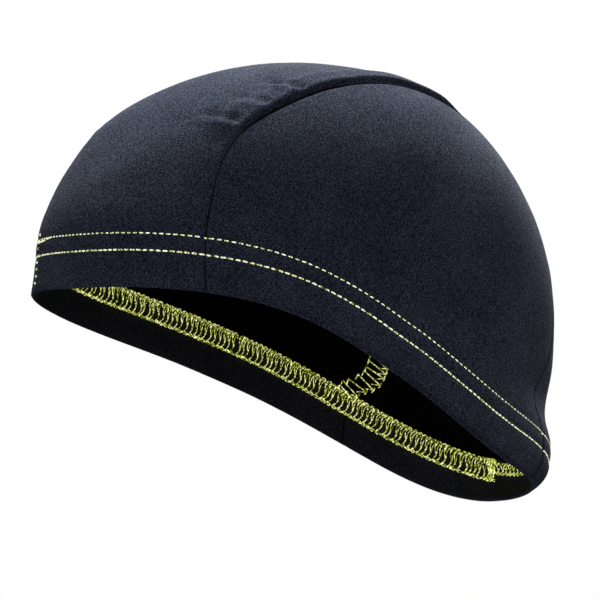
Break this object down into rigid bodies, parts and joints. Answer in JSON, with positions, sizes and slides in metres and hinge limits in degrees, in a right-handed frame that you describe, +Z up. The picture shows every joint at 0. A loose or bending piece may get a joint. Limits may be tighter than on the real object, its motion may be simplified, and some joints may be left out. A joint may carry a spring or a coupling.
{
  "type": "helmet liner cap",
  "caption": "Close-fitting knit skull cap sewn from a centre panel and side panels, with a turned-up hem held by contrast stitching.",
  "frame": {"origin": "inside face of the crown, where the top of the head sits", "axes": "+Z up through the crown, forehead at -Y, nape at +Y, wearer's left at +X"},
  "size_m": [0.1423, 0.2124, 0.1192],
  "materials": {
    "knit_cloth": "matte heathered fine knit",
    "seam_allowance": "matte knit, overlocked edge",
    "stitch_thread": "lime polyester thread"
  },
  "bodies": {
    "root": {"panel_centre": "knit_cloth", "panel_left": "knit_cloth", "panel_right": "knit_cloth", "seam_left": "seam_allowance", "seam_right": "seam_allowance", "coverstitch_band": "stitch_thread"}
  },
  "joints": []
}
